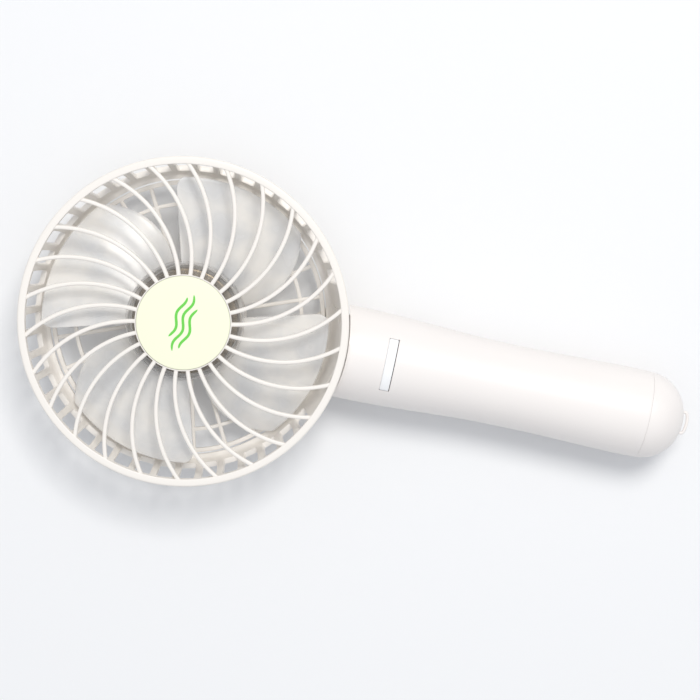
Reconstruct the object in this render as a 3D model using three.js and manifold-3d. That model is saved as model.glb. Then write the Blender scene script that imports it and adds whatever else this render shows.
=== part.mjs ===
// Handheld fan with a round caged head, lying on its back. Millimetres, +Z is the way the air blows.
// The origin is on the impeller axis, at the flat of the motor cover. The handle runs along +X.
import * as THREE from 'three';
import { mergeVertices } from 'three/addons/utils/BufferGeometryUtils.js';
import Module from 'manifold-3d';

const wasm = await Module();
wasm.setup();

// driving dimensions
const gap = 0.3;
const fineGap = 0.15;
const rimRadius = 52.5;
const rimInnerRadius = 50;
const rimTop = 32.5;
const rimBottom = 30.9;
const hubDiscRadius = 15.4;
const badgeRadius = 14.7;
const ribCount = 26;
const ribWidth = 1.3;
const ribCurveRadius = 37.2;
const ribSweep = 59;
const ribPhase = 9.9;
const grilleBack = 10.9;
const grilleFloor = 12.5;
const windowCount = 44;
const windowWidth = 5;
const windowBottom = 15.5;
const windowTop = 29.3;
const neckHalfAngle = 21;
const bossRadius = 17.2;
const coverThickness = 1.6;
const impellerTipRadius = 46;
const impellerHubRadius = 19;
const impellerHubTop = 27.2;
const impellerHubBottom = 14.6;
const bladeCount = 4;
const bladePhase = 15;
const handleAxis = 15.2;
const handleEnd = 151.4;
const buttonX = 66.6;
const buttonLength = 17;
const buttonWidth = 3;
const buttonTravel = 0.8;
const cellRadius = 9.1;
const cellStart = 80;
const cellLength = 64.6;
const capStart = 151.7;
const capLength = 12.9;
const capRadius = 14.1;

const degree = Math.PI / 180;
const fan = new THREE.Group();

// colours and finishes
const finishes = {
  shellWhite: { color: 0xfdfbf4, roughness: 0.42, metalness: 0 },
  buttonWhite: { color: 0xffffff, roughness: 0.3, metalness: 0 },
  badgeCream: { color: 0xfefeea, roughness: 0.3, metalness: 0 },
  milky: { color: 0xe6eaec, roughness: 0.25, metalness: 0 },
  darkPlastic: { color: 0x2b2b2d, roughness: 0.5, metalness: 0 },
  steel: { color: 0xb9bcc0, roughness: 0.3, metalness: 1 },
  copper: { color: 0xc77a43, roughness: 0.35, metalness: 1 },
  brass: { color: 0xcfa958, roughness: 0.35, metalness: 1 },
  ferrite: { color: 0x3a3a3d, roughness: 0.6, metalness: 0.2 },
  boardGreen: { color: 0x1f5b3a, roughness: 0.55, metalness: 0 },
  rubber: { color: 0x8f9094, roughness: 0.8, metalness: 0 },
  cellSleeve: { color: 0x3f78b4, roughness: 0.35, metalness: 0 },
};

// A closed three.js geometry as a solid: corners merged, slivers dropped, faces turned outwards.
function solidOf(geometry) {
  const bare = geometry.index ? geometry.toNonIndexed() : geometry.clone();
  bare.deleteAttribute('normal');
  bare.deleteAttribute('uv');
  const merged = mergeVertices(bare, 1e-4);
  const points = merged.attributes.position.array;
  const corners = [];
  let volume = 0;
  for (let i = 0; i < merged.index.count; i += 3) {
    const [a, b, c] = [0, 1, 2].map((k) => merged.index.getX(i + k));
    if (a === b || b === c || c === a) continue;
    corners.push(a, b, c);
    const [p, q, r] = [a, b, c].map((k) => new THREE.Vector3().fromArray(points, 3 * k));
    volume += p.dot(q.cross(r));
  }
  if (volume < 0) corners.reverse();
  return new wasm.Manifold(new wasm.Mesh({
    numProp: 3,
    vertProperties: new Float32Array(points),
    triVerts: new Uint32Array(corners),
  }));
}

function geometryOf(solid) {
  const mesh = solid.getMesh();
  const geometry = new THREE.BufferGeometry();
  geometry.setAttribute('position', new THREE.BufferAttribute(new Float32Array(mesh.vertProperties), 3));
  geometry.setIndex(new THREE.BufferAttribute(new Uint32Array(mesh.triVerts), 1));
  return geometry;
}

function addPart(name, solid, finish) {
  const material = new THREE.MeshStandardMaterial(finishes[finish]);
  const mesh = new THREE.Mesh(geometryOf(solid), material);
  mesh.name = name;
  fan.add(mesh);
}

// Profile points are [radius, height]; turned about the impeller axis.
function turned(profile, segments) {
  const points = profile.map(([radius, height]) => new THREE.Vector2(radius, height));
  return solidOf(new THREE.LatheGeometry(points, segments).rotateX(Math.PI / 2));
}

// Profile points are [x, radius]; turned about the handle axis.
function turnedAlongHandle(profile, segments) {
  const points = profile.map(([x, radius]) => new THREE.Vector2(radius, x));
  const geometry = new THREE.LatheGeometry(points, segments).rotateZ(-Math.PI / 2);
  return solidOf(geometry.translate(0, 0, handleAxis));
}

function ring(inner, outer, bottom, top, segments) {
  return turned([[inner, bottom], [outer, bottom], [outer, top], [inner, top], [inner, bottom]], segments);
}

function disc(radius, bottom, top, segments) {
  return turned([[0, bottom], [radius, bottom], [radius, top], [0, top]], segments);
}

function handleDisc(radius, start, end, segments) {
  return turnedAlongHandle([[start, 0], [start, radius], [end, radius], [end, 0]], segments);
}

function handleRing(inner, outer, start, end, segments) {
  const profile = [[start, inner], [start, outer], [end, outer], [end, inner], [start, inner]];
  return turnedAlongHandle(profile, segments);
}

function block(low, high) {
  const size = low.map((value, k) => high[k] - value);
  const middle = low.map((value, k) => (high[k] + value) / 2);
  return solidOf(new THREE.BoxGeometry(...size).translate(...middle));
}

function post(radius, x, y, bottom, top) {
  return disc(radius, bottom, top, 16).translate([x, y, 0]);
}

function around(count, phase, make) {
  const solids = [];
  for (let k = 0; k < count; k += 1) {
    const angle = phase + (360 * k) / count;
    const solid = make(angle);
    if (solid) solids.push(solid.rotate([0, 0, angle]));
  }
  return wasm.Manifold.union(solids);
}

// front grille: rim, swept ribs and the hub disc
function makeRib() {
  const sweep = ribSweep * degree;
  const overlap = 0.5 * degree;
  const start = -Math.PI / 2;
  const outline = new THREE.Shape();
  const [inner, outer] = [ribCurveRadius - ribWidth / 2, ribCurveRadius + ribWidth / 2];
  outline.absarc(hubDiscRadius, ribCurveRadius, outer, start - overlap, start + sweep, false);
  outline.absarc(hubDiscRadius, ribCurveRadius, inner, start + sweep, start - overlap, true);
  const belowRim = 0.4;
  const depth = rimTop - belowRim - rimBottom;
  const rib = new THREE.ExtrudeGeometry(outline, { depth, bevelEnabled: false, curveSegments: 5 });
  return solidOf(rib.translate(0, 0, rimBottom));
}

function makeFrontGrille() {
  const rim = turned([
    [rimInnerRadius, rimBottom], [rimRadius, rimBottom], [rimRadius, 31.8], [51.7, rimTop],
    [rimInnerRadius, rimTop], [rimInnerRadius, rimBottom],
  ], 2 * ribCount);
  const hub = turned([
    [0, 30.5], [15, 30.5], [hubDiscRadius, 31], [hubDiscRadius, 32], [badgeRadius + gap, 32.4],
    [badgeRadius + gap, 31.6], [0, 31.6],
  ], 2 * ribCount);
  return rim.add(around(ribCount, ribPhase, makeRib)).add(hub);
}

function makeBadge() {
  return turned([[0, 31.9], [badgeRadius, 31.9], [badgeRadius, 32.2], [14.1, rimTop], [0, rimTop]], 2 * ribCount);
}

// head ring: windowed wall with a ledge at its back, and the neck that the handle clamps
const ledgeRadius = 44.9;

function makeWindowedWall() {
  const wall = turned([
    [ledgeRadius, grilleBack], [46.6, grilleBack], [48.4, 12.2], [49.4, windowBottom],
    [52.2, rimBottom - gap], [rimInnerRadius, rimBottom - gap], [47.3, windowBottom],
    [45.6, grilleFloor], [ledgeRadius, grilleFloor], [ledgeRadius, grilleBack],
  ], windowCount);
  const windows = around(windowCount, 180 / windowCount, (angle) => {
    const fromHandle = Math.abs(((angle + 180) % 360) - 180);
    if (fromHandle < neckHalfAngle) return null;
    return block([44, -windowWidth / 2, windowBottom], [56, windowWidth / 2, windowTop]);
  });
  return wall.subtract(windows);
}

function makeNeck() {
  const neck = turnedAlongHandle([
    [37, 0], [37.6, 5], [39.6, 9.5], [42.5, 12.8], [46, 14.7], [50, handleAxis - 0.1], [54, handleAxis - 0.1],
    [54, 0],
  ], 36);
  const headSpace = turned([
    [0, grilleBack - gap], [ledgeRadius, grilleBack - gap], [ledgeRadius, grilleFloor], [45, grilleFloor],
    [47, windowBottom], [49.6, rimBottom - gap], [49.6, 40], [0, 40],
  ], windowCount);
  const rimFootprint = disc(52.2, -5, rimBottom - gap, windowCount);
  const stub = handleRing(9.6, 12, 49, 60, 28);
  const wireHole = handleDisc(2.4, 40, 62, 12);
  return neck.intersect(rimFootprint).subtract(headSpace).add(stub).subtract(wireHole);
}

function makeHeadRing() {
  return makeWindowedWall().add(makeNeck());
}

// rear grille: straight spokes between a rim ring, a middle ring and a ring round the motor housing
function makeRearGrille() {
  const spokeWidth = 1.2;
  const middleRadius = 36.9;
  const ringWidth = 1.4;
  const innerRadius = bossRadius + gap;
  const outerRadius = ledgeRadius - gap;
  const spokes = around(ribCount, 180 / ribCount, () => block(
    [innerRadius + 1, -spokeWidth / 2, grilleBack + 0.1],
    [outerRadius - 0.8, spokeWidth / 2, grilleFloor - 0.2],
  ));
  const innerRing = ring(innerRadius, innerRadius + ringWidth, grilleBack, grilleFloor, 2 * ribCount);
  const [middleBack, middleFront] = [grilleBack + 0.2, grilleFloor - 0.3];
  const middleRing = ring(middleRadius - 0.6, middleRadius + 0.6, middleBack, middleFront, 2 * ribCount);
  const outerRing = ring(outerRadius - ringWidth, outerRadius, grilleBack, grilleFloor, windowCount);
  return spokes.add(innerRing).add(middleRing).add(outerRing);
}

// motor housing: seat for the motor, with a boss behind it for the driver board
const coverScrewRadius = 12;
const motorScrewRadius = 6.2;
const motorScrewCount = 3;

function makeMotorHousing() {
  const bossWall = ring(15.4, bossRadius, coverThickness + gap, grilleFloor, 36);
  const seat = disc(16.5, grilleBack, grilleFloor, 36);
  const screwHoles = around(motorScrewCount, 0, () => post(1.2, motorScrewRadius, 0, 9, 14));
  const leadHole = post(1.6, -10.5, 0, 9, 14);
  let solid = bossWall.add(seat).subtract(screwHoles).subtract(leadHole);
  for (const side of [-1, 1]) {
    const y = side * coverScrewRadius;
    solid = solid.add(post(2.4, 0, y, coverThickness + gap, 11.5));
    solid = solid.add(block([-1, Math.min(y, side * 16), 3], [1, Math.max(y, side * 16), 11.5]));
    solid = solid.subtract(post(0.9, 0, y, 0, 8.2));
  }
  return solid;
}

function makeMotorCover() {
  let cover = turned([[0, 0], [16.2, 0], [bossRadius, 0.8], [bossRadius, coverThickness],
    [9, coverThickness], [9, 2.8], [7.8, 2.8], [7.8, coverThickness], [0, coverThickness]], 36);
  for (const side of [-1, 1]) {
    const y = side * coverScrewRadius;
    cover = cover.subtract(post(1.15, 0, y, -1, 3));
    cover = cover.subtract(post(2.1, 0, y, -1, 0.9));
  }
  return cover;
}

// Screw standing head down on the impeller axis, with a cross slot in its head.
function makeScrew(headRadius, headHeight, shankRadius, length) {
  const head = disc(headRadius, 0, headHeight, 14);
  const shank = disc(shankRadius, headHeight - 0.1, length, 8);
  const slot = block([-headRadius * 0.6, -0.18, -1], [headRadius * 0.6, 0.18, headHeight * 0.45]);
  return head.add(shank).subtract(slot).subtract(slot.rotate([0, 0, 90]));
}

// impeller: hub cup and four broad blades
function makeBlade() {
  const hubWidth = 80;
  const tipWidth = 56;
  const rootRadius = impellerHubRadius - 0.8;
  const cornerRadius = 4;
  const highEdge = 25.2;
  const drop = 9.6;
  const thickness = 1.1;
  const geometry = new THREE.BoxGeometry(1, 1, 1, 12, 4, 1);
  const points = geometry.attributes.position;
  for (let i = 0; i < points.count; i += 1) {
    const across = points.getX(i) + 0.5;
    const outward = points.getY(i) + 0.5;
    const edgeDistance = Math.min(1, (across * across * 60) / cornerRadius);
    const cornerDrop = cornerRadius * (1 - Math.sqrt(1 - (1 - edgeDistance) ** 2));
    const radius = rootRadius + outward * (impellerTipRadius - cornerDrop - rootRadius);
    const reach = (radius - rootRadius) / (impellerTipRadius - rootRadius);
    const width = hubWidth - (hubWidth - tipWidth) * reach * reach;
    const angle = -across * width * degree;
    const height = highEdge - drop * across + thickness * points.getZ(i);
    points.setXYZ(i, radius * Math.cos(angle), radius * Math.sin(angle), height);
  }
  return solidOf(geometry);
}

function makeImpeller() {
  const cup = turned([
    [17.5, impellerHubBottom], [impellerHubRadius, impellerHubBottom], [impellerHubRadius, 25.6],
    [18.4, 26.8], [17.2, impellerHubTop], [0, impellerHubTop], [0, 26.3], [1.25, 26.3], [1.25, 25.3],
    [3.2, 25.3], [3.2, 25.8], [17.5, 25.8], [17.5, impellerHubBottom],
  ], 40);
  return cup.add(around(bladeCount, bladePhase, makeBlade));
}

// brushless motor: steel cup and magnets turn with the impeller, core and windings stay on the bearing tube
function makeRotorCup() {
  return turned([
    [16.2, 14.8], [17.1, 14.8], [17.1, 24.4], [16.5, 25], [1.2, 25], [1.2, 24.1], [16.2, 24.1], [16.2, 14.8],
  ], 36);
}

const toothCount = 9;

function makeStatorCore() {
  const teeth = around(toothCount, 0, () => {
    const stem = block([6.5, -1.1, 16], [12.9, 1.1, 21]);
    return stem.add(block([12.3, -2.9, 16], [13.3, 2.9, 21]));
  });
  return ring(4.6, 7.4, 16, 21, 27).add(teeth);
}

function makeWinding() {
  const coils = around(toothCount, 0, () => {
    const coil = block([8, -2.4, 14.8], [12, 2.4, 22.2]);
    return coil.subtract(block([7, -1.4, 15.7], [13, 1.4, 21.3]));
  });
  return coils.add(ring(8.1, 9.1, 14.3, 15.2, 27));
}

function makeBearingTube() {
  const tube = turned([
    [3.2, 12.8], [8.4, 12.8], [8.4, 13.8], [4.2, 13.8], [4.2, 23.4], [3.2, 23.4], [3.2, 12.8],
  ], 24);
  return tube.subtract(around(motorScrewCount, 0, () => post(0.95, motorScrewRadius, 0, 12, 14)));
}

function makeDriverBoard() {
  let board = disc(13.2, 5.4, 6.4, 28);
  for (const side of [-1, 1]) {
    board = board.subtract(post(2.8, 0, side * coverScrewRadius, 5, 7));
    board = board.subtract(block([-2.8, side > 0 ? 12 : -15, 5], [2.8, side > 0 ? 15 : -12, 7]));
  }
  return board;
}

// handle: two half shells around the battery tube, with the controls near the head
const handleOutline = [
  [48, handleAxis], [58, handleAxis], [66, 15], [75, 14.6], [84, 14.15], [92, 13.75], [100, 13.55],
  [112, 13.55], [122, 13.7], [133, 14], [144, 14.25], [handleEnd, capRadius],
];
const cavityRadius = 12.4;
const boreRadius = 11.2;
const boreStart = 77;
const mouthRadius = 11.85;
const mouthStart = 139;
const handleScrewX = 73;
const handleScrewY = 8.6;

function makeHandleTube() {
  const [tubeStart, tubeRadius] = handleOutline[0];
  const bore = [
    [handleEnd, mouthRadius], [mouthStart, mouthRadius], [mouthStart, boreRadius], [boreStart, boreRadius],
    [boreStart, cavityRadius], [tubeStart, cavityRadius], [tubeStart, tubeRadius],
  ];
  const tube = turnedAlongHandle([...handleOutline, ...bore], 36);
  return tube.subtract(disc(rimRadius + gap, -5, 40, 2 * ribCount));
}

function halfSpace(side) {
  const seam = handleAxis + side * fineGap;
  if (side > 0) return block([40, -20, seam], [170, 20, 40]);
  return block([40, -20, -10], [170, 20, seam]);
}

function makeFrontShell(tube) {
  let shell = tube.intersect(halfSpace(1));
  for (const y of [-handleScrewY, handleScrewY]) {
    shell = shell.add(post(1.9, handleScrewX, y, handleAxis + fineGap, handleAxis + 10));
    shell = shell.subtract(post(0.75, handleScrewX, y, 0, handleAxis + 6));
  }
  const slot = block(
    [buttonX - buttonWidth / 2 - gap, -buttonLength / 2 - gap, handleAxis + 5],
    [buttonX + buttonWidth / 2 + gap, buttonLength / 2 + gap, 40],
  );
  return shell.subtract(slot);
}

function makeBackShell(tube) {
  let shell = tube.intersect(halfSpace(-1));
  for (const y of [-handleScrewY, handleScrewY]) {
    shell = shell.add(post(2.6, handleScrewX, y, handleAxis - 10, handleAxis - fineGap));
    shell = shell.subtract(post(1.1, handleScrewX, y, -1, 20));
    shell = shell.subtract(post(2, handleScrewX, y, -1, handleAxis - 6));
  }
  const socketOpening = block([62.1, -20, handleAxis - 4.9], [69.9, -8, handleAxis - 1.7]);
  const lensHole = makeCrossPin(1.25, 76.4, -20, -8);
  return shell.subtract(socketOpening).subtract(lensHole);
}

// Round pin across the handle, along Y, a little behind the seam.
function makeCrossPin(radius, x, start, end) {
  const pin = new THREE.CylinderGeometry(radius, radius, end - start, 16);
  return solidOf(pin.translate(x, (start + end) / 2, handleAxis - 3.2));
}

function makePowerButton() {
  const plateRadius = 15.3;
  const flangeRadius = 11.9;
  const flangeWidth = 4.6;
  const bar = (width) => block(
    [buttonX - width / 2, -buttonLength / 2, handleAxis + 5],
    [buttonX + width / 2, buttonLength / 2, 40],
  );
  const plate = handleDisc(plateRadius, 60, 76, 36).subtract(handleDisc(10.9, 59, 77, 36));
  const flange = handleDisc(flangeRadius, 60, 76, 36).subtract(handleDisc(10.9, 59, 77, 36));
  const stem = block([buttonX - 1.2, -1.2, handleAxis + 5.2], [buttonX + 1.2, 1.2, handleAxis + 11.4]);
  return plate.intersect(bar(buttonWidth)).add(flange.intersect(bar(flangeWidth))).add(stem);
}

function makeUsbSocket() {
  const can = block([62.4, -13.2, handleAxis - 4.6], [69.6, -6.6, handleAxis - 2]);
  const mouth = block([62.8, -14, handleAxis - 4.2], [69.2, -7.4, handleAxis - 2.4]);
  const tongue = block([63.9, -12.4, handleAxis - 3.5], [68.1, -7, handleAxis - 2.9]);
  return can.subtract(mouth).add(tongue);
}

function makeTailSpring() {
  const turns = 4.5;
  const smallRadius = 3.2;
  const largeRadius = 5.8;
  const start = 145.6;
  const length = 6.2;
  class Helix extends THREE.Curve {
    getPoint(t) {
      const angle = 2 * Math.PI * turns * t;
      const radius = smallRadius + (largeRadius - smallRadius) * t;
      const [y, z] = [radius * Math.cos(angle), radius * Math.sin(angle)];
      return new THREE.Vector3(start + length * t, y, handleAxis + z);
    }
  }
  const wire = new THREE.Shape();
  wire.absarc(0, 0, 0.4, 0, 2 * Math.PI, false);
  return solidOf(new THREE.ExtrudeGeometry(wire, { steps: 45, extrudePath: new Helix(), curveSegments: 3 }));
}

// end cap: skirt inside the tube, dome outside, two pockets for the lanyard loop
const skirtRadius = 11.3;
const skirtStart = 144.6;
const skirtBore = 9.9;
const grooveStart = 146.9;
const grooveEnd = 148.3;
const grooveRadius = 10.8;
const loopHalfWidth = 3.55;

function makeEndCap() {
  const dome = [];
  const domeSteps = 6;
  for (let k = 0; k <= domeSteps; k += 1) {
    const angle = (k / domeSteps) * (Math.PI / 2);
    dome.push([capStart + capLength * Math.sin(angle), k === domeSteps ? 0 : capRadius * Math.cos(angle)]);
  }
  const cap = turnedAlongHandle([
    [153.2, 0], [153.2, skirtBore], [skirtStart, skirtBore], [skirtStart, skirtRadius],
    [grooveStart, skirtRadius], [grooveStart, grooveRadius], [grooveEnd, grooveRadius],
    [grooveEnd, skirtRadius], [capStart, skirtRadius], ...dome,
  ], 36);
  const pocket = handleDisc(0.85, 159, 170, 10);
  const pockets = [-loopHalfWidth, loopHalfWidth].map((y) => pocket.translate([0, y, 0]));
  return cap.subtract(pockets[0]).subtract(pockets[1]);
}

function makeLanyardLoop() {
  const legStart = 159.4;
  const bendX = 165;
  const path = new THREE.CurvePath();
  const legs = [-1, 1].map((side) => [
    new THREE.Vector3(legStart, side * loopHalfWidth, handleAxis),
    new THREE.Vector3(bendX, side * loopHalfWidth, handleAxis),
  ]);
  path.add(new THREE.LineCurve3(legs[0][0], legs[0][1]));
  const outer = [
    new THREE.Vector3(bendX + 1.7, -loopHalfWidth, handleAxis),
    new THREE.Vector3(bendX + 1.7, loopHalfWidth, handleAxis),
  ];
  path.add(new THREE.CubicBezierCurve3(legs[0][1], outer[0], outer[1], legs[1][1]));
  path.add(new THREE.LineCurve3(legs[1][1], legs[1][0]));
  const wire = new THREE.Shape();
  wire.absarc(0, 0, 0.5, 0, 2 * Math.PI, false);
  return solidOf(new THREE.ExtrudeGeometry(wire, { steps: 16, extrudePath: path, curveSegments: 3 }));
}

addPart('front_grille', makeFrontGrille(), 'shellWhite');
addPart('hub_badge', makeBadge(), 'badgeCream');
addPart('head_ring', makeHeadRing(), 'shellWhite');
addPart('rear_grille', makeRearGrille(), 'shellWhite');
addPart('motor_housing', makeMotorHousing(), 'shellWhite');
addPart('motor_cover', makeMotorCover(), 'shellWhite');
for (const side of [-1, 1]) {
  const screw = makeScrew(1.8, 0.8, 0.7, 7).translate([0, side * coverScrewRadius, 0.05]);
  addPart(side < 0 ? 'cover_screw_1' : 'cover_screw_2', screw, 'steel');
}
addPart('driver_board', makeDriverBoard(), 'boardGreen');
addPart('driver_chip', block([-3, -2.5, 6.55], [2, 2.5, 7.9]), 'darkPlastic');

addPart('impeller', makeImpeller(), 'milky');
addPart('rotor_cup', makeRotorCup(), 'steel');
addPart('magnet_ring', ring(14.2, 15.8, 15, 23, 32), 'ferrite');
addPart('motor_shaft', disc(1, 13, 26, 16), 'steel');
addPart('front_bearing', ring(1.15, 3, 20.7, 23, 20), 'steel');
addPart('rear_bearing', ring(1.15, 3, 13.4, 15.7, 20), 'steel');
addPart('bearing_tube', makeBearingTube(), 'brass');
addPart('stator_core', makeStatorCore(), 'steel');
addPart('stator_winding', makeWinding(), 'copper');
for (let k = 0; k < motorScrewCount; k += 1) {
  const screw = makeScrew(1.9, 0.9, 0.8, 4.2).translate([motorScrewRadius, 0, 9.7]);
  addPart(`motor_screw_${k + 1}`, screw.rotate([0, 0, (360 * k) / motorScrewCount]), 'steel');
}

const handleTube = makeHandleTube();
addPart('handle_front_shell', makeFrontShell(handleTube), 'shellWhite');
addPart('handle_back_shell', makeBackShell(handleTube), 'shellWhite');
[-handleScrewY, handleScrewY].forEach((y, k) => {
  const screw = makeScrew(1.7, 1, 0.6, 12).translate([handleScrewX, y, handleAxis - 7.2]);
  addPart(`handle_screw_${k + 1}`, screw, 'steel');
});
addPart('power_button', makePowerButton(), 'buttonWhite');
const switchTop = handleAxis + 5.1 - buttonTravel;
addPart('button_switch', block([buttonX - 2.4, -2.4, handleAxis], [buttonX + 2.4, 2.4, switchTop]), 'darkPlastic');
addPart('control_board', block([61.5, -5.6, handleAxis - 1.7], [75.4, 5.6, handleAxis - 0.3]), 'boardGreen');
addPart('charge_socket', makeUsbSocket(), 'steel');
addPart('charge_chip', block([64.5, -4.5, handleAxis - 3.4], [69.5, 1.5, handleAxis - 2]), 'darkPlastic');
addPart('indicator_lens', makeCrossPin(0.95, 76.4, -14, -9.5), 'milky');

addPart('contact_carrier', handleRing(4, 10.8, 77.6, 79.2, 24), 'darkPlastic');
addPart('front_contact', handleDisc(3.6, 77.7, 78.3, 20), 'brass');
addPart('battery_tube', handleRing(9.5, 10.8, 79.6, 142, 28), 'darkPlastic');
const cell = handleDisc(cellRadius, cellStart, cellStart + cellLength, 28);
addPart('battery_cell', cell.add(handleDisc(2.8, 78.7, cellStart + 1, 20)), 'cellSleeve');

const gasket = handleRing(grooveRadius + fineGap, 11.7, grooveStart + fineGap, grooveEnd - fineGap, 32);
addPart('cap_gasket', gasket, 'rubber');
addPart('end_cap', makeEndCap(), 'shellWhite');
addPart('tail_contact', handleDisc(7.6, 152.4, 152.9, 28), 'brass');
addPart('tail_spring', makeTailSpring(), 'steel');
addPart('lanyard_loop', makeLanyardLoop(), 'shellWhite');

export default fan;
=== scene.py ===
import math

import bmesh
import bpy
from mathutils import Matrix, Vector


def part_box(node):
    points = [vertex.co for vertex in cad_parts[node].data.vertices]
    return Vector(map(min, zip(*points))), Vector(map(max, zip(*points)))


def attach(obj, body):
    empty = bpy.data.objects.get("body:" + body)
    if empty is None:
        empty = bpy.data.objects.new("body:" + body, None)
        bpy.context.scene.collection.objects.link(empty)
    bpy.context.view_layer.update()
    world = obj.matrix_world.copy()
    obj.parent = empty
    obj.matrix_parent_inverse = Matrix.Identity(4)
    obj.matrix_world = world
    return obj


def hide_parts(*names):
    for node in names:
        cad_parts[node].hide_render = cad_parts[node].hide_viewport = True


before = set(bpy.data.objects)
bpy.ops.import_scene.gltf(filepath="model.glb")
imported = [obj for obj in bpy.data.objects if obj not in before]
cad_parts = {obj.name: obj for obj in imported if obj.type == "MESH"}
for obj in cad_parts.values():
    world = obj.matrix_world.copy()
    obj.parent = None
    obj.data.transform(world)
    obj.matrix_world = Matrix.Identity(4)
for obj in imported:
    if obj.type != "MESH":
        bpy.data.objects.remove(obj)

mm = 0.001

# how many faces a turned shape has around its axis
headSteps, flatSteps, discSteps, tubeSteps, smallSteps, pinSteps = 208, 160, 128, 96, 64, 32
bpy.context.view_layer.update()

rimLow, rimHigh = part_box("front_grille")
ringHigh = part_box("head_ring")[1]
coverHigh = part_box("motor_cover")[1]
shellLow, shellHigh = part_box("handle_front_shell")
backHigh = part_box("handle_back_shell")[1]
loopLow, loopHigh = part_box("lanyard_loop")
buttonLow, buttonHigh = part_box("power_button")
bladeLow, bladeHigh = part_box("impeller")
cupLow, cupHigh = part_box("rotor_cup")
cellLow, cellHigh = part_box("battery_cell")
gasketLow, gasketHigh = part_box("cap_gasket")
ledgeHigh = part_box("rear_grille")[1]
springLow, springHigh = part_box("tail_spring")
rimRadius = rimHigh.y
handleAxis = (shellLow.z + backHigh.z) / 2
handleRadius = shellHigh.y


def addMesh(name, builder, material):
    mesh = bpy.data.meshes.new(name)
    builder.to_mesh(mesh)
    builder.free()
    return addObject(name, mesh, material)


def addObject(name, mesh, material):
    piece = bpy.data.objects.new(name, mesh)
    bpy.context.scene.collection.objects.link(piece)
    mesh.materials.clear()
    mesh.materials.append(material)
    shadeSmooth(mesh)
    return piece


def shadeSmooth(mesh, limit=35):
    mesh.shade_smooth()
    mesh.set_sharp_from_angle(angle=math.radians(limit))


# turns the modifiers of a piece into its own plain mesh
def bakeModifiers(piece, limit=35):
    graph = bpy.context.evaluated_depsgraph_get()
    graph.update()
    mesh = bpy.data.meshes.new_from_object(piece.evaluated_get(graph))
    old = piece.data
    piece.modifiers.clear()
    piece.data = mesh
    mesh.name = piece.name
    bpy.data.meshes.remove(old)
    shadeSmooth(mesh, limit)
    return piece


# a polygon of (point, radius) corners, with each corner rounded by an arc
def rounded(corners, steps=5, closed=True):
    points = []
    count = len(corners)
    for k, (a, b, radius) in enumerate(corners):
        here = Vector((a, b))
        if radius == 0 or (not closed and k in (0, count - 1)):
            points.append((a, b))
            continue
        before = Vector(corners[k - 1][:2]) - here
        after = Vector(corners[(k + 1) % count][:2]) - here
        turn = before.angle(after)
        reach = min(radius / math.tan(turn / 2), before.length * 0.49, after.length * 0.49)
        start = here + before.normalized() * reach
        end = here + after.normalized() * reach
        for i in range(steps + 1):
            t = i / steps
            point = start * (1 - t) ** 2 + here * 2 * t * (1 - t) + end * t * t
            points.append((point.x, point.y))
    return points


# profile points are (radius, height) about the impeller axis, in mm; a profile that starts and ends
# on the axis is closed by it, any other closes on itself
def turnProfile(profile, segments, alongHandle=False):
    builder = bmesh.new()
    rings = []
    for radius, height in profile:
        if radius < 1e-6:
            rings.append([builder.verts.new((0, 0, height * mm))])
            continue
        ring = []
        for k in range(segments):
            angle = 2 * math.pi * k / segments
            x, y = radius * math.cos(angle), radius * math.sin(angle)
            ring.append(builder.verts.new((x * mm, y * mm, height * mm)))
        rings.append(ring)
    onAxis = len(rings[0]) == 1 and len(rings[-1]) == 1
    pairs = list(zip(rings, rings[1:])) + ([] if onAxis else [(rings[-1], rings[0])])
    for low, high in pairs:
        for k in range(segments):
            n = (k + 1) % segments
            corners = [low[k % len(low)], low[n % len(low)], high[n % len(high)], high[k % len(high)]]
            unique = list(dict.fromkeys(corners))
            if len(unique) > 2:
                builder.faces.new(unique)
    if alongHandle:
        place = Matrix.Translation((0, 0, handleAxis)) @ Matrix.Rotation(math.pi / 2, 4, "Y")
        bmesh.ops.transform(builder, matrix=place, verts=builder.verts)
    bmesh.ops.recalc_face_normals(builder, faces=builder.faces)
    return builder


def boxBuilder(low, high):
    builder = bmesh.new()
    bmesh.ops.create_cube(builder, size=1)
    size = [b - a for a, b in zip(low, high)]
    middle = [(a + b) / 2 for a, b in zip(low, high)]
    bmesh.ops.scale(builder, vec=[s * mm for s in size], verts=builder.verts)
    bmesh.ops.translate(builder, vec=[m * mm for m in middle], verts=builder.verts)
    return builder


# joins or cuts one piece with tools that are used up
def combine(piece, tools, operation="DIFFERENCE"):
    for tool in tools:
        step = piece.modifiers.new("cut", "BOOLEAN")
        step.operation = operation
        step.solver = "EXACT"
        step.object = tool
        bakeModifiers(piece)
        bpy.data.objects.remove(tool)
    return piece


def softenEdges(piece, width, segments=2, limit=40):
    step = piece.modifiers.new("soft", "BEVEL")
    step.width = width * mm
    step.segments = segments
    step.limit_method = "ANGLE"
    step.angle_limit = math.radians(limit)
    step.harden_normals = False
    return bakeModifiers(piece)


def mergeInto(piece, others):
    builder = bmesh.new()
    builder.from_mesh(piece.data)
    for other in others:
        builder.from_mesh(other.data)
        bpy.data.objects.remove(other)
    builder.to_mesh(piece.data)
    builder.free()
    shadeSmooth(piece.data)
    return piece


def newGroup(name, kind, inputs, outputs):
    group = bpy.data.node_groups.new(name, kind)
    for label, socketType, value in inputs:
        socket = group.interface.new_socket(label, in_out="INPUT", socket_type=socketType)
        if value is not None:
            socket.default_value = value
    for label, socketType in outputs:
        group.interface.new_socket(label, in_out="OUTPUT", socket_type=socketType)
    return group, group.nodes.new("NodeGroupInput"), group.nodes.new("NodeGroupOutput")


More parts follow.
